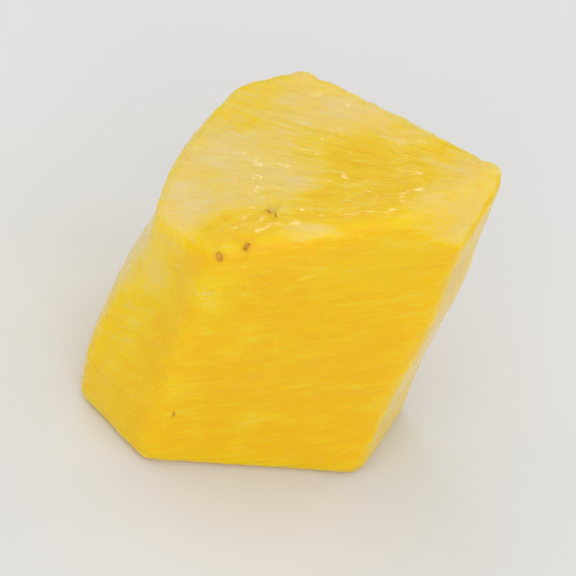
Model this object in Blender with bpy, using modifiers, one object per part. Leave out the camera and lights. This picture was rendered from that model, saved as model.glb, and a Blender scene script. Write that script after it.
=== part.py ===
"""A fresh pineapple chunk: one wedge cut from a peeled and cored pineapple.

The fruit's axis stands upright on the core side. +X runs from the peel side to the core side,
+Z is up, and the chunk rests on its lower cross cut, with the middle of its box over the origin.
All sizes are in metres.
"""

import math

import bmesh
import bpy
from mathutils import Matrix, Vector, noise

# Driving dimensions of the wedge
RADIAL_LENGTH = 0.0264
FRONT_OF_CORE = 0.0038
BACK_OF_CORE = 0.0040
FRONT_HALF_ANGLE = math.radians(24.4)
BACK_HALF_ANGLE = math.radians(22.0)
PEEL_HEIGHT = 0.0220
CORE_HEIGHT = 0.0307
TOP_TILT_ACROSS = -0.125

# The peeled fruit, a little narrower higher up, and how far the wedge was cut off its axis
FLESH_RADIUS_LOW = 0.0342
FLESH_RADIUS_HIGH = 0.0327
FRUIT_OFFSET = -0.0028

# How far each knife cut leans from upright, and the turn of the core cut
FRONT_LEAN = math.radians(3.3)
BACK_LEAN = math.radians(2.0)
CORE_LEAN = math.radians(3.6)
CORE_TURN = math.radians(-8.0)

# Strokes of the peeling knife that took off the two peel corners: turn from -X, and reach
FRONT_CORNER_TURN = math.radians(59.0)
FRONT_CORNER_REACH = 0.0135
BACK_CORNER_TURN = math.radians(-62.0)
BACK_CORNER_REACH = 0.0130
CORNER_RISE = 0.06

# Slanting stroke that trimmed the tall front corner: a place on it, its turn from +X and its rise
TIP_PLACE = (0.01252, -0.00236, 0.02598)
TIP_TURN = math.radians(-52.7)
TIP_RISE = math.radians(32.3)

# The thin strip below that is pressed flat where the chunk rests
BASE_TRIM = 0.0005

# Eye hollows on the peel side: height, offset across, radius and depth of each
EYES = (
    (0.0150, 0.0025, 0.0046, 0.0012),
    (0.0055, -0.0020, 0.0046, 0.0008),
    (0.0065, 0.0075, 0.0042, 0.0009),
)

# Small pits where an eye's seed chamber was cut: place on the top cut, radius and depth
PITS = (
    (-0.0070, -0.0079, 0.0022, 0.0005),
    (-0.0033, -0.0084, 0.0020, 0.0005),
    (-0.0024, -0.0054, 0.0021, 0.0004),
)

# Relief of the juicy flesh: ridges along the fibres, and broad lumps
FIBRE_PITCH = 0.0030
FIBRE_RUN = 0.0090
FIBRE_ON_TOP = 0.00045
FIBRE_ON_SIDES = 0.00025
LUMP_SIZE = 0.0110
LUMP_HEIGHT = 0.0005

# The skin that the relief moves: its mesh size, and how far its edges are eased
SKIN_SIZE = 0.00082
SKIN_EASING = 13
NORMAL_ROUNDS = 3

# The stretch of fruit that is cut, and a knife block larger than it
FRUIT_BOTTOM = -0.010
FRUIT_TOP = 0.045
FRUIT_SIDES = 96
KNIFE_SIZE = 0.120

CORE_X = RADIAL_LENGTH / 2
FRUIT_X = FLESH_RADIUS_LOW - CORE_X
FLESH_TAPER = (FLESH_RADIUS_HIGH - FLESH_RADIUS_LOW) / PEEL_HEIGHT

FLESH_COLOUR = (0.84, 0.51, 0.035, 1.0)
FLESH_ROUGHNESS = 0.35
FLESH_GLOW = (0.006, 0.004, 0.001)


def clear_scene():
    for obj in list(bpy.data.objects):
        bpy.data.objects.remove(obj, do_unlink=True)


def new_collection(name):
    collection = bpy.data.collections.new(name)
    bpy.context.scene.collection.children.link(collection)
    return collection


def flesh_material():
    material = bpy.data.materials.new("pineapple_flesh")
    material.use_nodes = True
    shader = material.node_tree.nodes["Principled BSDF"]
    shader.inputs["Base Color"].default_value = FLESH_COLOUR
    shader.inputs["Roughness"].default_value = FLESH_ROUGHNESS
    shader.inputs["Metallic"].default_value = 0.0
    shader.inputs["Subsurface Weight"].default_value = 0.4
    shader.inputs["Subsurface Radius"].default_value = FLESH_GLOW
    return material


def peeled_fruit(collection):
    """The stretch of peeled fruit the chunk is cut from, standing on its own axis."""
    mesh = bpy.data.meshes.new("pineapple_chunk")
    bm = bmesh.new()
    bmesh.ops.create_cone(
        bm,
        cap_ends=True,
        segments=FRUIT_SIDES,
        radius1=FLESH_RADIUS_LOW + FRUIT_BOTTOM * FLESH_TAPER,
        radius2=FLESH_RADIUS_LOW + FRUIT_TOP * FLESH_TAPER,
        depth=FRUIT_TOP - FRUIT_BOTTOM,
    )
    middle = Vector((FRUIT_X, FRUIT_OFFSET, (FRUIT_TOP + FRUIT_BOTTOM) / 2))
    bmesh.ops.translate(bm, verts=bm.verts, vec=middle)
    bm.to_mesh(mesh)
    bm.free()
    fruit = bpy.data.objects.new("pineapple_chunk", mesh)
    collection.objects.link(fruit)
    return fruit


def knife(collection, name, point, outward):
    """A large block whose flat side passes through point and whose body lies outward of it."""
    mesh = bpy.data.meshes.new(name)
    bm = bmesh.new()
    bmesh.ops.create_cube(bm, size=KNIFE_SIZE)
    bmesh.ops.translate(bm, verts=bm.verts, vec=(0.0, 0.0, KNIFE_SIZE / 2))
    bm.to_mesh(mesh)
    bm.free()
    block = bpy.data.objects.new(name, mesh)
    block.location = point
    block.rotation_euler = Vector(outward).to_track_quat("Z", "Y").to_euler()
    block.hide_render = True
    block.display_type = "WIRE"
    collection.objects.link(block)


def leaning(turn, rise):
    """Unit vector turned from +X and risen from level."""
    return Vector((math.cos(turn) * math.cos(rise), math.sin(turn) * math.cos(rise), math.sin(rise)))


def front_normal():
    """Outward normal of the front cut, which runs along the radius."""
    return leaning(FRONT_HALF_ANGLE - math.pi / 2, FRONT_LEAN)


def back_normal():
    """Outward normal of the back cut, which runs along the radius."""
    return leaning(math.pi / 2 - BACK_HALF_ANGLE, BACK_LEAN)


def corner_normal(turn):
    """Outward normal of a peeling stroke, turned from the middle of the peel side."""
    return Vector((-math.cos(turn), -math.sin(turn), CORNER_RISE))


def core_normal():
    """Outward normal of the cut that took the core away."""
    return leaning(CORE_TURN, -CORE_LEAN)


def knives(collection):
    """The cuts in the order a cook makes them."""
    knife(collection, "front_cut", (CORE_X, -FRONT_OF_CORE, 0.0), front_normal())
    knife(collection, "back_cut", (CORE_X, BACK_OF_CORE, 0.0), back_normal())
    front_corner = corner_normal(FRONT_CORNER_TURN)
    knife(collection, "front_corner_cut", front_corner * FRONT_CORNER_REACH, front_corner)
    back_corner = corner_normal(BACK_CORNER_TURN)
    knife(collection, "back_corner_cut", back_corner * BACK_CORNER_REACH, back_corner)
    rise = (CORE_HEIGHT - PEEL_HEIGHT) / RADIAL_LENGTH
    knife(collection, "top_cut", (-CORE_X, 0.0, PEEL_HEIGHT), (-rise, TOP_TILT_ACROSS, 1.0))
    knife(collection, "core_cut", (CORE_X, 0.0, CORE_HEIGHT), core_normal())
    knife(collection, "tip_cut", TIP_PLACE, leaning(TIP_TURN, TIP_RISE))
    knife(collection, "base_cut", (0.0, 0.0, -BASE_TRIM), (0.0, 0.0, -1.0))


def cut_and_ease(fruit, cutters):
    """Every knife cut, then an even skin whose edges are eased."""
    for block in cutters.objects:
        cut = fruit.modifiers.new(block.name, "BOOLEAN")
        cut.operation = "DIFFERENCE"
        cut.solver = "EXACT"
        cut.object = block
    skin = fruit.modifiers.new("even_skin", "REMESH")
    skin.mode = "VOXEL"
    skin.voxel_size = SKIN_SIZE
    skin.adaptivity = 0.0
    easing = fruit.modifiers.new("eased_edges", "SMOOTH")
    easing.factor = 0.5
    easing.iterations = SKIN_EASING
    graph = bpy.context.evaluated_depsgraph_get()
    finished = bpy.data.meshes.new_from_object(fruit.evaluated_get(graph))
    fruit.modifiers.clear()
    fruit.data = finished


def smooth_step(low, high, value):
    share = min(max((value - low) / (high - low), 0.0), 1.0)
    return share * share * (3.0 - 2.0 * share)


def fibre(point, layered):
    """Ridges that run from the core to the peel, stacked in layers where layered is 1."""
    spoke = Vector((point.x - FRUIT_X, point.y))
    across = math.atan2(spoke.y, -spoke.x) * CORE_X / FIBRE_PITCH
    along = spoke.length / FIBRE_RUN
    return noise.noise(Vector((along, across, point.z * layered / FIBRE_PITCH)))


def hollow(depth, gap):
    """Depth of a round hollow, at a distance given in its own radii."""
    return depth * (1.0 - smooth_step(0.0, 1.0, gap))


def eye_hollow(point):
    return max(
        hollow(depth, math.hypot(point.z - height, point.y - across) / radius)
        for height, across, radius, depth in EYES
    )


def pit(point):
    return max(
        hollow(depth, math.hypot(point.x - x, point.y - y) / radius)
        for x, y, radius, depth in PITS
    )


def relief(point, normal):
    """The move of one point of the skin, outward or inward."""
    facing_up = smooth_step(0.45, 0.85, normal.z)
    facing_front = smooth_step(0.85, 0.97, normal.dot(front_normal()))
    facing_back = smooth_step(0.85, 0.97, normal.dot(back_normal()))
    facing_peel = smooth_step(0.45, 0.85, -normal.x)
    rise = noise.noise(point / LUMP_SIZE) * LUMP_HEIGHT * (1.0 + facing_peel)
    rise += facing_up * (FIBRE_ON_TOP * fibre(point, 0.0) - pit(point))
    rise += max(facing_front, facing_back) * FIBRE_ON_SIDES * fibre(point, 1.0)
    rise -= facing_peel * eye_hollow(point)
    return normal * rise


def even_normals(bm):
    """Each vertex's normal, averaged with its neighbours' so that edges move as one."""
    bm.verts.index_update()
    normals = [vertex.normal.copy() for vertex in bm.verts]
    near = [[edge.other_vert(vertex).index for edge in vertex.link_edges] for vertex in bm.verts]
    for _ in range(NORMAL_ROUNDS):
        sums = [sum((normals[j] for j in near[i]), normals[i]) for i in range(len(normals))]
        normals = [total.normalized() for total in sums]
    return normals


def carve(mesh):
    """Relief, then one flat cut at the height the chunk rests on."""
    bm = bmesh.new()
    bm.from_mesh(mesh)
    bm.normal_update()
    moves = [relief(vertex.co, normal) for vertex, normal in zip(bm.verts, even_normals(bm))]
    for vertex, move in zip(bm.verts, moves):
        vertex.co += move
    bmesh.ops.bisect_plane(
        bm,
        geom=bm.verts[:] + bm.edges[:] + bm.faces[:],
        dist=1e-7,
        plane_co=(0.0, 0.0, 0.0),
        plane_no=(0.0, 0.0, -1.0),
        clear_outer=True,
    )
    rim = [edge for edge in bm.edges if edge.is_boundary]
    bmesh.ops.contextual_create(bm, geom=rim)
    bmesh.ops.dissolve_degenerate(bm, dist=1e-5, edges=bm.edges[:])
    bmesh.ops.triangulate(bm, faces=bm.faces[:])
    bmesh.ops.recalc_face_normals(bm, faces=bm.faces[:])
    bm.to_mesh(mesh)
    bm.free()


def centre_over_origin(mesh):
    xs = [vertex.co.x for vertex in mesh.vertices]
    ys = [vertex.co.y for vertex in mesh.vertices]
    middle = Vector(((min(xs) + max(xs)) / 2, (min(ys) + max(ys)) / 2, 0.0))
    mesh.transform(Matrix.Translation(-middle))


def main():
    clear_scene()
    parts = new_collection("pineapple chunk")
    cutters = new_collection("cutters")
    chunk = peeled_fruit(parts)
    knives(cutters)
    cut_and_ease(chunk, cutters)
    carve(chunk.data)
    centre_over_origin(chunk.data)
    chunk.data.materials.append(flesh_material())
    chunk.data.shade_smooth()
    chunk.data.set_sharp_from_angle(angle=math.radians(50.0))


main()
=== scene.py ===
"""The looks of a fresh pineapple chunk: juicy fibrous flesh with a few brown eye specks."""

import math
import random

import bpy
import numpy as np
from mathutils import Matrix, Vector, noise


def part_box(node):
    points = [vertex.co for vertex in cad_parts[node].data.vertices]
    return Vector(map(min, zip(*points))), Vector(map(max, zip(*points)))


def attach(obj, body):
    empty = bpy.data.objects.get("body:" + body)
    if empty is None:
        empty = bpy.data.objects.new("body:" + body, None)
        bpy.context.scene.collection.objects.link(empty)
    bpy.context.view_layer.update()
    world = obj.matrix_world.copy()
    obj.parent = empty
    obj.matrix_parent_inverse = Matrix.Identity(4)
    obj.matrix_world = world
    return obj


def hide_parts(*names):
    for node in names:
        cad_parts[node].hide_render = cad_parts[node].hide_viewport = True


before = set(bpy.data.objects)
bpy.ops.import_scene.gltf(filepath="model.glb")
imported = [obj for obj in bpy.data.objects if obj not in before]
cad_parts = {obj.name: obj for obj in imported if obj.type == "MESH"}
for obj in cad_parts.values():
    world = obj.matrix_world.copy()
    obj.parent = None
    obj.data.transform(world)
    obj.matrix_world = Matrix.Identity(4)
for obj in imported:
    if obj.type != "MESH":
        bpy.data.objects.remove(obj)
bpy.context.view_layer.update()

# The sway of the fibres, the ragged borders and the specks come out the same in each run
NOISE_SEED = 11
SPECK_SEED = 11
noise.seed_set(NOISE_SEED)

# The wedge, in metres, as in the part's own source
RADIAL_LENGTH = 0.0264
FRONT_OF_CORE = 0.0038
BACK_OF_CORE = 0.0040
FRONT_HALF_ANGLE = math.radians(24.4)
BACK_HALF_ANGLE = math.radians(22.0)
PEEL_HEIGHT = 0.0220
CORE_HEIGHT = 0.0307
TOP_TILT_ACROSS = -0.125
FLESH_RADIUS_LOW = 0.0342
FLESH_RADIUS_HIGH = 0.0327
FRUIT_OFFSET = -0.0028
FRONT_LEAN = math.radians(3.3)
BACK_LEAN = math.radians(2.0)
CORE_LEAN = math.radians(3.6)
CORE_TURN = math.radians(-8.0)
FRONT_CORNER_TURN = math.radians(59.0)
FRONT_CORNER_REACH = 0.0135
BACK_CORNER_TURN = math.radians(-62.0)
BACK_CORNER_REACH = 0.0130
CORNER_RISE = 0.06
TIP_PLACE = (0.01252, -0.00236, 0.02598)
TIP_TURN = math.radians(-52.7)
TIP_RISE = math.radians(32.3)
FRUIT_BOTTOM = -0.010
FRUIT_TOP = 0.045
FRUIT_SIDES = 96
CORE_X = RADIAL_LENGTH / 2
FRUIT_X = FLESH_RADIUS_LOW - CORE_X
FLESH_TAPER = (FLESH_RADIUS_HIGH - FLESH_RADIUS_LOW) / PEEL_HEIGHT

# Eye hollows on the peel side: height, offset across, radius and depth
EYES = (
    (0.0150, 0.0025, 0.0046, 0.0012),
    (0.0055, -0.0020, 0.0046, 0.0008),
    (0.0065, 0.0075, 0.0042, 0.0009),
)

# Small torn pits on the top cut, where brown bits sit: place, radius and depth
PITS = (
    (-0.0070, -0.0079, 0.0009, 0.00015),
    (-0.0033, -0.0089, 0.0008, 0.00018),
    (-0.0026, -0.0054, 0.0008, 0.00016),
)

# Skin of the flesh before it is subdivided once, and how far its edges are eased
SKIN_SIZE = 0.000375
EDGE_EASE = 0.0008
SKIN_EASING = 6
SHARP_EDGE = math.radians(20.0)

# Relief of the flesh: sizes, heights and how far each kind fades
LUMP_SIZE = 0.0110
LUMP_HEIGHT = 0.0005
RIPPLE_ACROSS = 0.0014
RIPPLE_ALONG = 0.0070
RIPPLE_ON_TOP = 0.000025
RIPPLE_ON_SIDES = 0.00006
TEAR_ACROSS = 0.0007
TEAR_ALONG = 0.0018
TEAR_DEPTH = 0.00005
TEAR_FADE = (0.22, 0.60)
THREAD_ACROSS = 0.0008
THREAD_ALONG = 0.0090
THREAD_HEIGHT = 0.00002
THREAD_EDGE = 0.22
THREAD_GAPS = (-0.25, 0.30)
EDGE_ROUGHNESS = 0.00014
CELL_ACROSS = 0.00055
CELL_ALONG = 0.00110
CELL_ON_TOP = 0.00004
CELL_ON_SIDES = 0.00003
EDGE_GRAIN = 0.0013
PIT_GRAIN = 0.0007
PIT_RAGGED = 1.1
PIT_LOWEST = PEEL_HEIGHT - 0.003
BASE_FADE = 0.0012
METRES_TO_MM = 1000.0

# Run of the fibres: the length that a radian across them stands for, their climb and their sway
FIBRE_SPREAD = CORE_X * 1.5
FIBRE_CLIMB = 0.28
SWAY_SIZE = 0.0110
SWAY = 0.0008
FINE_SWAY_SIZE = 0.0030
FINE_SWAY = 0.00008

# How near the normal of a face the skin must point: from none of that face to all of it
WIDE_FADE = (0.45, 0.85)
CUT_FADE = (0.85, 0.97)
TIP_FADE = (0.90, 0.97)
EDGE_FADE = (0.92, 0.985)


def leaning(turn, rise):
    """Unit vector turned from +X and risen from level."""
    return Vector((math.cos(turn) * math.cos(rise), math.sin(turn) * math.cos(rise), math.sin(rise)))


# Outward normals of the front and back cuts, of the cut that took the core away and of the slanting stroke
FRONT_NORMAL = leaning(FRONT_HALF_ANGLE - math.pi / 2, FRONT_LEAN)
BACK_NORMAL = leaning(math.pi / 2 - BACK_HALF_ANGLE, BACK_LEAN)
CORE_NORMAL = leaning(CORE_TURN, -CORE_LEAN)
TIP_NORMAL = leaning(TIP_TURN, TIP_RISE)


def corner_normal(turn):
    """Outward normal of a peeling stroke, turned from the middle of the peel side."""
    return Vector((-math.cos(turn), -math.sin(turn), CORNER_RISE))


def smooth_step(start, end, value):
    """A soft change from 0 at the first value to 1 at the second."""
    share = min(max((value - start) / (end - start), 0.0), 1.0)
    return share * share * (3.0 - 2.0 * share)


def knife_strokes():
    """A point on each knife cut and its outward normal, in the order they are made."""
    rise = (CORE_HEIGHT - PEEL_HEIGHT) / RADIAL_LENGTH
    front_corner = corner_normal(FRONT_CORNER_TURN)
    back_corner = corner_normal(BACK_CORNER_TURN)
    return (
        (Vector((CORE_X, -FRONT_OF_CORE, 0.0)), FRONT_NORMAL),
        (Vector((CORE_X, BACK_OF_CORE, 0.0)), BACK_NORMAL),
        (front_corner * FRONT_CORNER_REACH, front_corner),
        (back_corner * BACK_CORNER_REACH, back_corner),
        (Vector((-CORE_X, 0.0, PEEL_HEIGHT)), Vector((-rise, TOP_TILT_ACROSS, 1.0))),
        (Vector((CORE_X, 0.0, CORE_HEIGHT)), CORE_NORMAL),
        (Vector(TIP_PLACE), TIP_NORMAL),
        (Vector((0.0, 0.0, 0.0)), Vector((0.0, 0.0, -1.0))),
    )


CUT_DIRECTIONS = [outward.normalized() for _, outward in knife_strokes()]


def deselect_everything():
    bpy.ops.object.select_all(action="DESELECT")


def apply_all(piece):
    for modifier in list(piece.modifiers):
        bpy.ops.object.modifier_apply(modifier=modifier.name)


def cut_chunk():
    """A stretch of peeled fruit, cut with the knife strokes, its edges eased."""
    deselect_everything()
    bpy.ops.mesh.primitive_cone_add(
        vertices=FRUIT_SIDES,
        radius1=FLESH_RADIUS_LOW + FRUIT_BOTTOM * FLESH_TAPER,
        radius2=FLESH_RADIUS_LOW + FRUIT_TOP * FLESH_TAPER,
        depth=FRUIT_TOP - FRUIT_BOTTOM,
        location=(FRUIT_X, FRUIT_OFFSET, (FRUIT_TOP + FRUIT_BOTTOM) / 2),
    )
    chunk = bpy.context.active_object
    chunk.name = "juicy_flesh"
    bpy.ops.object.transform_apply(location=True, rotation=True, scale=True)
    bpy.ops.object.mode_set(mode="EDIT")
    for point, outward in knife_strokes():
        bpy.ops.mesh.select_all(action="SELECT")
        bpy.ops.mesh.bisect(plane_co=point, plane_no=outward, use_fill=True, clear_outer=True)
    bpy.ops.mesh.select_mode(type="EDGE")
    bpy.ops.mesh.select_all(action="DESELECT")
    bpy.ops.mesh.edges_select_sharp(sharpness=SHARP_EDGE)
    bpy.ops.mesh.bevel(offset=EDGE_EASE, segments=3, affect="EDGES")
    bpy.ops.object.mode_set(mode="OBJECT")
    skin = chunk.modifiers.new("even_skin", "REMESH")
    skin.mode = "VOXEL"
    skin.voxel_size = SKIN_SIZE
    easing = chunk.modifiers.new("eased_edges", "SMOOTH")
    easing.factor = 0.5
    easing.iterations = SKIN_EASING
    finer = chunk.modifiers.new("finer_skin", "SUBSURF")
    finer.levels = 1
    finer.render_levels = 1
    apply_all(chunk)
    return chunk


def fibre_place(point):
    """Where a point lies in the fruit: out along the fibres, across them, and up through their layers."""
    spoke = Vector((point.x - FRUIT_X, point.y))
    sway = noise.noise_vector(point / SWAY_SIZE) * SWAY
    sway += noise.noise_vector(point / FINE_SWAY_SIZE) * FINE_SWAY
    radius = spoke.length + sway.z
    across = math.atan2(spoke.y, -spoke.x) * FIBRE_SPREAD + sway.x
    layer = point.z + spoke.length * FIBRE_CLIMB + sway.y
    return Vector((radius, across, layer))


def facings(normal):
    """How far a point of the skin belongs to the top, the peel side and the core side."""
    top = smooth_step(*WIDE_FADE, normal.z)
    peel = smooth_step(*WIDE_FADE, -normal.x)
    core = smooth_step(*CUT_FADE, normal.dot(CORE_NORMAL))
    return top, peel, core


def edge_share(point, normal):
    """How far a point of the skin belongs to an eased edge rather than to a face."""
    outward = Vector((point.x - FRUIT_X, point.y, 0.0)).normalized()
    nearest = max(normal.dot(direction) for direction in [outward, *CUT_DIRECTIONS])
    return 1.0 - smooth_step(*EDGE_FADE, nearest)


def hollow(depth, gap):
    """Depth of a round hollow at a gap from its middle, as a share of its radius."""
    return depth * (1.0 - smooth_step(0.0, 1.0, gap))


def along_fibres(place, along, across):
    """Noise drawn out along the fibres."""
    return noise.noise(Vector((place.x / along, place.y / across, place.z / across)))


def threads(place):
    """Fine fibre bundles, 1 along the middle of each and 0 between them."""
    line = 1.0 - smooth_step(0.0, THREAD_EDGE, abs(along_fibres(place, THREAD_ALONG, THREAD_ACROSS)))
    present = smooth_step(*THREAD_GAPS, along_fibres(place, THREAD_ALONG * 0.7, THREAD_ACROSS * 3.0))
    return line * present


def relief(point, place, thread, facing, edge):
    """Outward move of one point of the skin."""
    top, peel, core = facing
    side = 1.0 - top - 0.8 * core
    move = noise.noise(point / LUMP_SIZE) * LUMP_HEIGHT * (1.0 + peel)
    ripple = along_fibres(place, RIPPLE_ALONG, RIPPLE_ACROSS)
    ripple += 0.5 * along_fibres(place, RIPPLE_ALONG * 0.45, RIPPLE_ACROSS * 0.45)
    move += ripple * (top * RIPPLE_ON_TOP + side * RIPPLE_ON_SIDES)
    tear = along_fibres(place, TEAR_ALONG, TEAR_ACROSS)
    move -= smooth_step(*TEAR_FADE, tear) * TEAR_DEPTH * (0.1 + 0.9 * top)
    move += thread * THREAD_HEIGHT * (0.4 + 0.6 * top)
    move += edge * noise.noise(point / EDGE_GRAIN) * EDGE_ROUGHNESS
    cell = along_fibres(place, CELL_ALONG, CELL_ACROSS)
    move += cell * (top * CELL_ON_TOP + side * CELL_ON_SIDES)
    if point.z > PIT_LOWEST:
        ragged = 1.0 + PIT_RAGGED * noise.noise(point / PIT_GRAIN)
        for x, y, radius, depth in PITS:
            move -= hollow(depth, math.hypot(point.x - x, point.y - y) / radius * ragged)
    for height_up, across, radius, depth in EYES:
        gap = math.hypot(point.z - height_up, point.y - across) / radius
        move -= peel * hollow(depth, gap)
    return move


# Paleness of the flesh, from 0 where it is deep yellow to 1 where it is cream
PALE_ALL_OVER = 0.12
# The top cut and the tip are paler partly for their fibrous flesh and partly for a painted sheen of the
# lamps on them
PALE_AND_SHEEN_ON_TOP = 0.40
PALE_ON_STRIP = 0.16
PALE_ON_CORE = 0.22
PALE_ON_PEEL = 0.04
PALE_SEAMS = 0.32
LEAST_ON_TOP = 0.30
BLOTCH_SIZE = 0.0032
BLOTCHES = 0.10
BLOTCHES_ON_TOP = 0.08
SPOT_SIZE = 0.0013
SPOTS_ON_TOP = 0.10

# Ragged borders of the patches
BORDER_GRAIN = 0.0020
BORDER_RAGGED = 0.0011

# Where the pale strip, the pale tip and the patches of the front begin and are full, and how a patch fades
STRIP_FADE = (-0.0065, -0.0095)
TIP_BEGIN = (0.0055, 0.0080)
FRONT_FADE = (0.0, -0.003)
PATCH_FADE = (0.35, 1.5)

# Width of the pale seams between fruitlets on the peel side
SEAM_WIDTH = 0.0022

# Ragged borders of the stains, and how they fade
STAIN_GRAIN = 0.0006
STAIN_RAGGED = 0.0005
STAIN_FADE = (0.2, 1.0)

# Where brown bits stain the flesh, and how far
STAINS = (
    (Vector((-0.0026, -0.0054, 0.0250)), 0.0007),
    (Vector((-0.0032, -0.0090, 0.0235)), 0.0008),
    (Vector((-0.0050, -0.0103, 0.0230)), 0.0007),
    (Vector((-0.0046, -0.0109, 0.0057)), 0.0007),
    (Vector((-0.0132, 0.0020, 0.0152)), 0.0022),
    (Vector((-0.0132, -0.0024, 0.0060)), 0.0016),
    (Vector((-0.0125, 0.0072, 0.0070)), 0.0016),
)

# Patches of the top cut that are paler or deeper: place, half length, half width and how much
TOP_PATCHES = (
    (-0.0060, -0.0012, 0.0060, 0.0052, 0.40),
    (-0.0100, -0.0020, 0.0028, 0.0050, 0.15),
    (-0.0092, -0.0070, 0.0026, 0.0030, 0.45),
    (-0.0035, 0.0080, 0.0070, 0.0030, 0.40),
    (0.0050, 0.0062, 0.0080, 0.0020, 0.34),
    (0.0118, 0.0012, 0.0030, 0.0040, 0.35),
    (0.0018, -0.0074, 0.0028, 0.0013, 0.35),
    (0.0080, -0.0022, 0.0022, 0.0012, 0.22),
    (0.0020, -0.0040, 0.0038, 0.0020, -0.46),
    (0.0022, 0.0010, 0.0042, 0.0022, -0.34),
    (0.0056, -0.0012, 0.0022, 0.0020, -0.24),
    (-0.0034, -0.0080, 0.0038, 0.0020, -0.50),
    (-0.0074, 0.0072, 0.0028, 0.0018, -0.22),
    (-0.0083, 0.0036, 0.0030, 0.0009, -0.16),
    (0.0080, -0.0052, 0.0044, 0.0012, -0.24),
)

# Patches of the front cut: place along it, height, half length, half height and how much; most are mottles
# of the flesh, one is painted light and one painted shade
FRONT_MOTTLES_AND_PAINTED_LIGHT = (
    (-0.0048, 0.0190, 0.0022, 0.0028, 0.36),
    (-0.0100, 0.0195, 0.0022, 0.0050, 0.30),
    (-0.0104, 0.0120, 0.0014, 0.0060, 0.14),
    (-0.0043, 0.0087, 0.0016, 0.0014, 0.20),
    (0.0032, 0.0057, 0.0030, 0.0012, 0.18),
    # Painted light: paler high at the right, where more light falls on the front
    (0.0070, 0.0240, 0.0055, 0.0060, 0.14),
    # Painted shade: deeper gold over the lower middle of the front
    (0.0040, 0.0105, 0.0060, 0.0070, -0.16),
)


def patch_sum(patches, first, second):
    """How much the patches add at a place on a cut."""
    total = 0.0
    for at, up, half_length, half_width, gain in patches:
        gap = math.hypot((first - at) / half_length, (second - up) / half_width)
        total += gain * (1.0 - smooth_step(*PATCH_FADE, gap))
    return total


def paleness(point, normal, facing):
    """How pale and fibrous the flesh is, with painted sheen on the top and painted light and shade on the
    front.
    """
    top, peel, core = facing
    ragged = point + noise.noise_vector(point / BORDER_GRAIN) * BORDER_RAGGED
    x, y, z = ragged
    strip = smooth_step(*STRIP_FADE, x) * (1.0 - top)
    tip = smooth_step(*TIP_FADE, normal.dot(TIP_NORMAL)) * smooth_step(*TIP_BEGIN, x)
    # The top cut and the tip get a painted sheen here, over their paler fibrous flesh
    pale = PALE_ALL_OVER + PALE_AND_SHEEN_ON_TOP * max(top, tip) + PALE_ON_STRIP * strip + PALE_ON_CORE * core
    pale += peel * (PALE_ON_PEEL + PALE_SEAMS * seam(ragged))
    pale += max(top, tip) * patch_sum(TOP_PATCHES, x, y)
    # The front's patches are mottles of the flesh, with painted light high at the right and painted shade
    # lower down
    pale += (1.0 - top) * smooth_step(*FRONT_FADE, y) * patch_sum(FRONT_MOTTLES_AND_PAINTED_LIGHT, x, z)
    pale += noise.noise(point / BLOTCH_SIZE) * (BLOTCHES + BLOTCHES_ON_TOP * top)
    pale += noise.noise(point / SPOT_SIZE) * SPOTS_ON_TOP * top
    return max(pale, LEAST_ON_TOP * top)


def seam(point):
    """1 along the pale seams of the peel side, where two fruitlets met, and 0 away from them."""
    gaps = sorted(math.hypot(point.z - height_up, point.y - across) for height_up, across, _, _ in EYES)
    return 1.0 - smooth_step(0.0, SEAM_WIDTH, gaps[1] - gaps[0])


def stain(point):
    """How strongly the juice round a brown bit has browned the flesh."""
    ragged = point + noise.noise_vector(point / STAIN_GRAIN) * STAIN_RAGGED
    return max(1.0 - smooth_step(*STAIN_FADE, (ragged - spot).length / reach) for spot, reach in STAINS)


def carve(chunk):
    """Relief on the skin, and what the flesh's colour follows, kept as attributes."""
    mesh = chunk.data
    moved = []
    places = []
    pales = []
    stains = []
    lines = []
    tops = []
    for vertex in mesh.vertices:
        facing = facings(vertex.normal)
        place = fibre_place(vertex.co)
        thread = threads(place)
        edge = edge_share(vertex.co, vertex.normal)
        keep = smooth_step(0.0, BASE_FADE, vertex.co.z)
        move = relief(vertex.co, place, thread, facing, edge) * keep
        moved.append(vertex.co + vertex.normal * move)
        lines.append(thread)
        tops.append(facing[0])
        places.extend(place * METRES_TO_MM)
        pales.append(paleness(vertex.co, vertex.normal, facing))
        stains.append(stain(vertex.co))
    for vertex, point in zip(mesh.vertices, moved):
        vertex.co = point
    layer = mesh.attributes.new("fibre_place", "FLOAT_VECTOR", "POINT")
    layer.data.foreach_set("vector", places)
    kept = {"paleness": pales, "stain": stains, "thread": lines, "cross_cut": tops}
    for name, values in kept.items():
        layer = mesh.attributes.new(name, "FLOAT", "POINT")
        layer.data.foreach_set("value", values)


def centre_like_the_part(chunk):
    """The piece's box is brought to the middle of the solid's box, standing at the same height."""
    low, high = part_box("pineapple_chunk")
    corners = np.empty(len(chunk.data.vertices) * 3)
    chunk.data.vertices.foreach_get("co", corners)
    corners = corners.reshape(-1, 3)
    mine = (corners.min(axis=0) + corners.max(axis=0)) / 2
    shift = Vector(((low[0] + high[0]) / 2 - mine[0], (low[1] + high[1]) / 2 - mine[1], 0.0))
    chunk.data.transform(Matrix.Translation(shift))


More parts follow.
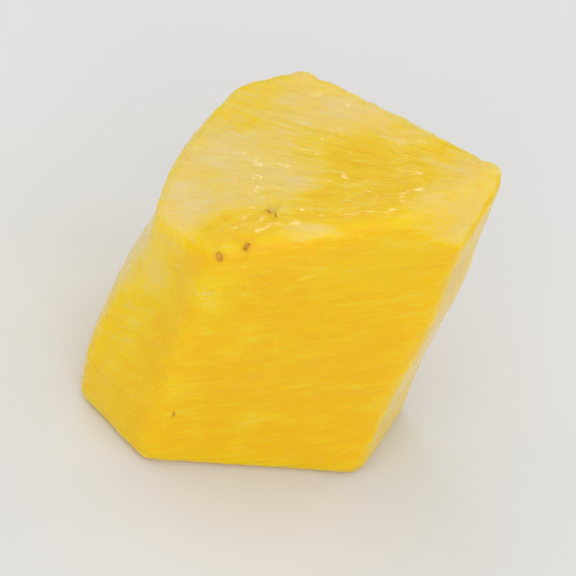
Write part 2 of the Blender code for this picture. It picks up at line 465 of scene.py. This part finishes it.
class Finish:
    """A material, with short calls for its nodes."""

    def __init__(self, name):
        self.material = bpy.data.materials.new(name)
        self.material.use_nodes = True
        self.nodes = self.material.node_tree.nodes
        self.links = self.material.node_tree.links
        self.shader = self.nodes["Principled BSDF"]

    def attribute(self, name):
        node = self.nodes.new("ShaderNodeAttribute")
        node.attribute_name = name
        return node

    def stretch(self, source, scale):
        node = self.nodes.new("ShaderNodeMapping")
        node.inputs["Scale"].default_value = scale
        self.links.new(source, node.inputs["Vector"])
        return node.outputs["Vector"]

    def noise(self, source, scale=1.0, detail=3.0, roughness=0.5):
        node = self.nodes.new("ShaderNodeTexNoise")
        node.inputs["Scale"].default_value = scale
        node.inputs["Detail"].default_value = detail
        node.inputs["Roughness"].default_value = roughness
        self.links.new(source, node.inputs["Vector"])
        return node.outputs["Fac"]

    def spread(self, source, low, high, to_low=0.0, to_high=1.0):
        node = self.nodes.new("ShaderNodeMapRange")
        node.inputs["From Min"].default_value = low
        node.inputs["From Max"].default_value = high
        node.inputs["To Min"].default_value = to_low
        node.inputs["To Max"].default_value = to_high
        self.links.new(source, node.inputs["Value"])
        return node.outputs["Result"]

    def math(self, operation, first, second):
        node = self.nodes.new("ShaderNodeMath")
        node.operation = operation
        for socket, value in zip(node.inputs, (first, second)):
            if isinstance(value, (int, float)):
                socket.default_value = value
            else:
                self.links.new(value, socket)
        return node.outputs["Value"]

    def blend(self, factor, first, second):
        node = self.nodes.new("ShaderNodeMix")
        node.data_type = "RGBA"
        self.links.new(factor, node.inputs["Factor"])
        for name, value in (("A", first), ("B", second)):
            if isinstance(value, tuple):
                node.inputs[name].default_value = (*value, 1.0)
            else:
                self.links.new(value, node.inputs[name])
        return node.outputs["Result"]

    def bump(self, height, distance, below=None):
        node = self.nodes.new("ShaderNodeBump")
        node.inputs["Distance"].default_value = distance
        self.links.new(height, node.inputs["Height"])
        if below is not None:
            self.links.new(below, node.inputs["Normal"])
        return node.outputs["Normal"]


# Colours of the flesh, from the deepest to the palest, and of its browned places
DEEP_FLESH = (0.88, 0.518, 0.000)
GOLD_FLESH = (0.88, 0.620, 0.004)
PALE_FLESH = (0.85, 0.640, 0.180)
CREAM_FLESH = (0.83, 0.675, 0.320)
STAIN_BROWN = (0.56, 0.34, 0.002)
STAIN_SHARE = 0.40

# Paleness over which each colour gives way to the next
DEEP_TO_GOLD = (0.0, 0.42)
GOLD_TO_PALE = (0.38, 1.0)
PALE_TO_CREAM = (1.0, 1.5)

# Grain of the flesh, in waves to a millimetre: along the fibres, across them and through their layers
STREAK_RUN = (0.10, 0.70, 0.70)
FLECK_RUN = (0.55, 2.0, 2.0)
WISP_RUN = (0.13, 2.6, 2.6)
BREAK_RUN = (0.30, 1.2, 1.2)
CELL_RUN = (1.1, 2.6, 2.6)

# Grain of the flesh with no run, in waves to a metre
MOTTLE_SCALE = 300.0
WET_SCALE = 300.0

# What each grain adds to the paleness, from where it is least to where it is most
STREAK_GAIN = (-0.08, 0.08)
MOTTLE_GAIN = (-0.07, 0.07)
THREAD_GAIN = (-0.02, 0.06)
WISP_GAIN = (-0.06, 0.42)
FLECK_GAIN = (-0.10, 0.14)

# Wisps: how narrow their lines are, and between which values of a second noise they fade in
WISP_WIDTH = 0.04
WISP_BREAKS = (0.38, 0.58)

# Roughness of the film of juice, and how much of the cells shows on the sides and on the top
WET_ROUGHNESS = (0.14, 0.34)
CELL_SHARE = (0.35, 1.0)

# Refraction of juice, and how deep each colour of light goes into the flesh
JUICE_IOR = 1.36
LIGHT_DEPTH = (1.0, 0.70, 0.15)
LIGHT_DEPTH_SCALE = 0.0026

# Relief of the cells and of the finest fibres, finer than the skin's mesh
CELL_BUMP = 0.00008
FIBRE_BUMP = 0.00010


def pale_amount(finish, place, coords, cross, wisps):
    """How pale the flesh is at each spot: its broad patches, with the grain of the fibres over them."""
    streaks = finish.noise(finish.stretch(place, STREAK_RUN), detail=2.0, roughness=0.4)
    mottles = finish.noise(coords, scale=MOTTLE_SCALE, detail=3.0, roughness=0.6)
    flecks = finish.noise(finish.stretch(place, FLECK_RUN), detail=3.0, roughness=0.6)
    broken = finish.noise(finish.stretch(place, BREAK_RUN), detail=1.0)
    thread = finish.attribute("thread").outputs["Fac"]

    off_middle = finish.math("ABSOLUTE", finish.math("SUBTRACT", wisps, 0.5), 0.0)
    line = finish.spread(off_middle, 0.0, WISP_WIDTH, 1.0, 0.0)
    wisp = finish.math("MULTIPLY", line, finish.spread(broken, *WISP_BREAKS))
    on_top = finish.math("MULTIPLY", cross, finish.spread(flecks, 0.35, 0.68, *FLECK_GAIN))

    amount = finish.attribute("paleness").outputs["Fac"]
    for grain in (
        finish.spread(streaks, 0.3, 0.7, *STREAK_GAIN),
        finish.spread(mottles, 0.3, 0.7, *MOTTLE_GAIN),
        finish.spread(thread, 0.0, 1.0, *THREAD_GAIN),
        finish.spread(wisp, 0.0, 1.0, *WISP_GAIN),
        on_top,
    ):
        amount = finish.math("ADD", amount, grain)
    return amount


def flesh_colour(finish, amount):
    """Deep gold to cream as the flesh gets paler, browned round the bits of the eyes."""
    gold = finish.blend(finish.spread(amount, *DEEP_TO_GOLD), DEEP_FLESH, GOLD_FLESH)
    flesh = finish.blend(finish.spread(amount, *GOLD_TO_PALE), gold, PALE_FLESH)
    flesh = finish.blend(finish.spread(amount, *PALE_TO_CREAM), flesh, CREAM_FLESH)
    browned = finish.spread(finish.attribute("stain").outputs["Fac"], 0.0, 1.0, 0.0, STAIN_SHARE)
    return finish.blend(browned, flesh, STAIN_BROWN)


def wet_skin(finish, place, coords, cross, wisps):
    """A film of juice that shines a little unevenly, over cells and fibres finer than the skin's mesh."""
    shader = finish.shader
    wet = finish.noise(coords, scale=WET_SCALE, detail=2.0)
    finish.links.new(finish.spread(wet, 0.35, 0.65, *WET_ROUGHNESS), shader.inputs["Roughness"])
    cells = finish.noise(finish.stretch(place, CELL_RUN), detail=2.0, roughness=0.6)
    rough_on_top = finish.math("MULTIPLY", cells, finish.spread(cross, 0.0, 1.0, *CELL_SHARE))
    fine = finish.bump(rough_on_top, CELL_BUMP)
    finish.links.new(finish.bump(wisps, FIBRE_BUMP, below=fine), shader.inputs["Normal"])
    shader.inputs["IOR"].default_value = JUICE_IOR
    shader.inputs["Specular IOR Level"].default_value = 0.25
    shader.inputs["Coat Weight"].default_value = 0.40
    shader.inputs["Coat IOR"].default_value = JUICE_IOR
    shader.inputs["Coat Roughness"].default_value = 0.05


def flesh_finish():
    """Juicy flesh, which light passes into: golden, with fine pale fibres and a wet skin."""
    finish = Finish("juicy_flesh")
    place = finish.attribute("fibre_place").outputs["Vector"]
    cross = finish.attribute("cross_cut").outputs["Fac"]
    coords = finish.nodes.new("ShaderNodeTexCoord").outputs["Object"]
    wisps = finish.noise(finish.stretch(place, WISP_RUN), detail=2.0, roughness=0.5)
    amount = pale_amount(finish, place, coords, cross, wisps)
    finish.links.new(flesh_colour(finish, amount), finish.shader.inputs["Base Color"])
    wet_skin(finish, place, coords, cross, wisps)
    finish.shader.inputs["Subsurface Weight"].default_value = 0.92
    finish.shader.inputs["Subsurface Radius"].default_value = LIGHT_DEPTH
    finish.shader.inputs["Subsurface Scale"].default_value = LIGHT_DEPTH_SCALE
    return finish.material


def build_flesh():
    """The dressed chunk, in the place of the plain solid."""
    chunk = cut_chunk()
    carve(chunk)
    centre_like_the_part(chunk)
    chunk.data.materials.clear()
    chunk.data.materials.append(flesh_finish())
    chunk.data.shade_smooth()
    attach(chunk, "root")
    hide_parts("pineapple_chunk")
    return chunk


# Brown bits of the eyes: a point outside the flesh, the way in to it, length, width and turn
SPECKS = (
    ((-0.0029, -0.0054, 0.040), (0.0, 0.0, -1.0), 0.0009, 0.00026, 10.0),
    ((-0.0022, -0.0057, 0.040), (0.0, 0.0, -1.0), 0.0004, 0.00020, 60.0),
    ((-0.0033, -0.0090, 0.040), (0.0, 0.0, -1.0), 0.0007, 0.00034, -25.0),
    ((-0.0050, -0.0200, 0.0230), (0.0, 1.0, 0.0), 0.0007, 0.00036, 30.0),
    ((-0.0046, -0.0200, 0.0057), (0.0, 1.0, 0.0), 0.0004, 0.00025, 0.0),
    ((-0.0300, 0.0025, 0.0158), (1.0, 0.0, 0.0), 0.0012, 0.00040, 35.0),
    ((-0.0300, 0.0012, 0.0145), (1.0, 0.0, 0.0), 0.0007, 0.00030, -50.0),
    ((-0.0300, -0.0024, 0.0060), (1.0, 0.0, 0.0), 0.0009, 0.00035, 80.0),
    ((-0.0300, 0.0072, 0.0070), (1.0, 0.0, 0.0), 0.0010, 0.00040, -20.0),
)

# Browns of the bits, and their thickness as a share of their width
SPECK_DARK = (0.52, 0.210, 0.010)
SPECK_LIGHT = (0.74, 0.380, 0.030)
SPECK_THICKNESS = 0.16


def speck_finish():
    """Dull brown, mottled."""
    finish = Finish("eye_specks")
    coords = finish.nodes.new("ShaderNodeTexCoord").outputs["Object"]
    mottle = finish.spread(finish.noise(coords, scale=3500.0, detail=2.0), 0.35, 0.65)
    colour = finish.blend(mottle, SPECK_DARK, SPECK_LIGHT)
    finish.links.new(colour, finish.shader.inputs["Base Color"])
    finish.links.new(finish.spread(mottle, 0.0, 1.0, 0.35, 0.6), finish.shader.inputs["Roughness"])
    finish.shader.inputs["Specular IOR Level"].default_value = 0.25
    finish.shader.inputs["Subsurface Weight"].default_value = 0.2
    finish.shader.inputs["Subsurface Radius"].default_value = (0.0005, 0.0002, 0.0001)
    return finish.material


def brown_bit(spot, normal, length, width, turn, rng):
    """One flat, ragged bit, half sunk in the flesh at a spot."""
    deselect_everything()
    bpy.ops.mesh.primitive_ico_sphere_add(subdivisions=3, radius=1.0)
    bit = bpy.context.active_object
    seed = Vector((rng.uniform(0, 50), rng.uniform(0, 50), rng.uniform(0, 50)))
    for vertex in bit.data.vertices:
        lobes = 0.75 * noise.noise(vertex.co * 1.3 + seed)
        crumbs = 0.3 * noise.noise(vertex.co * 3.1 + seed)
        vertex.co *= 1.0 + lobes + crumbs
    shape = Matrix.Diagonal((length / 2, width / 2, width * SPECK_THICKNESS, 1.0))
    turned = Matrix.Rotation(math.radians(turn), 4, "Z")
    stand = normal.to_track_quat("Z", "X").to_matrix().to_4x4()
    bit.data.transform(Matrix.Translation(spot) @ stand @ turned @ shape)
    bit.data.shade_smooth()
    return bit


def build_specks(chunk):
    """The brown bits, each where its way in meets the flesh, as one piece."""
    rng = random.Random(SPECK_SEED)
    finish = speck_finish()
    bits = []
    for start, inward, length, width, turn in SPECKS:
        hit, spot, normal, _ = chunk.ray_cast(Vector(start), Vector(inward))
        if not hit:
            raise RuntimeError(f"no flesh under the speck at {start}")
        bit = brown_bit(spot, normal, length, width, turn, rng)
        bit.data.materials.append(finish)
        bits.append(bit)
    deselect_everything()
    for bit in bits:
        bit.select_set(True)
    bpy.context.view_layer.objects.active = bits[0]
    bpy.ops.object.join()
    specks = bpy.context.active_object
    specks.name = "eye_specks"
    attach(specks, "root")


# A square floor, in metres, pale grey and dull
FLOOR_SIZE = 1.6
FLOOR_GREY = (0.80, 0.80, 0.80, 1.0)
FLOOR_ROUGHNESS = 0.8


def build_floor():
    """A plain pale floor."""
    deselect_everything()
    bpy.ops.mesh.primitive_plane_add(size=FLOOR_SIZE)
    floor = bpy.context.active_object
    floor.name = "pale_floor"
    finish = Finish("pale_floor")
    finish.shader.inputs["Base Color"].default_value = FLOOR_GREY
    finish.shader.inputs["Roughness"].default_value = FLOOR_ROUGHNESS
    floor.data.materials.append(finish.material)


# Studio lamps: name, place, width and power
SOFTBOXES = (
    ("key_softbox", (-0.48, 0.16, 0.88), 1.30, 4.55),
    ("glint_softbox", (-0.30, 0.29, 0.45), 0.03, 0.036),
    ("fill_softbox", (0.20, -1.21, 0.64), 1.90, 12.7),
    ("side_softbox", (0.85, -0.10, 0.30), 0.60, 1.1),
    ("back_softbox", (0.60, 0.90, 0.45), 0.80, 2.4),
)
LAMPS_AIM = Vector((0.0, 0.0, 0.012))
STUDIO_LIGHT = 0.41


def softbox(name, place, size, power):
    """A square soft lamp, aimed at the chunk."""
    deselect_everything()
    bpy.ops.object.light_add(type="AREA", location=place)
    lamp = bpy.context.active_object
    lamp.name = name
    lamp.data.size = size
    lamp.data.energy = power
    lamp.rotation_euler = (LAMPS_AIM - Vector(place)).to_track_quat("-Z", "Y").to_euler()


def build_lights():
    """The lamps, and even white light from all round."""
    for name, place, size, power in SOFTBOXES:
        softbox(name, place, size, power)
    world = bpy.data.worlds.new("studio")
    world.use_nodes = True
    background = world.node_tree.nodes["Background"]
    background.inputs["Color"].default_value = (1.0, 1.0, 1.0, 1.0)
    background.inputs["Strength"].default_value = STUDIO_LIGHT
    bpy.context.scene.world = world
    bpy.context.scene.view_settings.view_transform = "Standard"


# The camera looks from the photograph's own angle, turned about its line of sight as there
CAMERA_TURN = math.radians(5.0)
CAMERA_ELEVATION = math.radians(44.5)
CAMERA_ROLL = math.radians(18.0)
CAMERA_DISTANCE = 0.70
CAMERA_AIM = Vector((0.0, 0.0, 0.0125))
FRAME_WIDTH = 0.046
SENSOR_WIDTH = 36.0


def build_camera():
    """A long lens, so that the frame shows the given width at the chunk."""
    level = Vector((math.sin(CAMERA_TURN), -math.cos(CAMERA_TURN), 0.0))
    away = level * math.cos(CAMERA_ELEVATION) + Vector((0.0, 0.0, math.sin(CAMERA_ELEVATION)))
    camera = bpy.data.objects.new("camera", bpy.data.cameras.new("camera"))
    bpy.context.scene.collection.objects.link(camera)
    camera.location = CAMERA_AIM + away * CAMERA_DISTANCE
    facing = (-away).to_track_quat("-Z", "Y")
    roll = Matrix.Rotation(CAMERA_ROLL, 3, "Z")
    camera.rotation_euler = (facing.to_matrix() @ roll).to_euler()
    camera.data.sensor_width = SENSOR_WIDTH
    camera.data.lens = SENSOR_WIDTH * CAMERA_DISTANCE / FRAME_WIDTH
    camera.data.clip_start = 0.01
    bpy.context.scene.camera = camera


build_camera()
flesh = build_flesh()
build_specks(flesh)
build_floor()
build_lights()
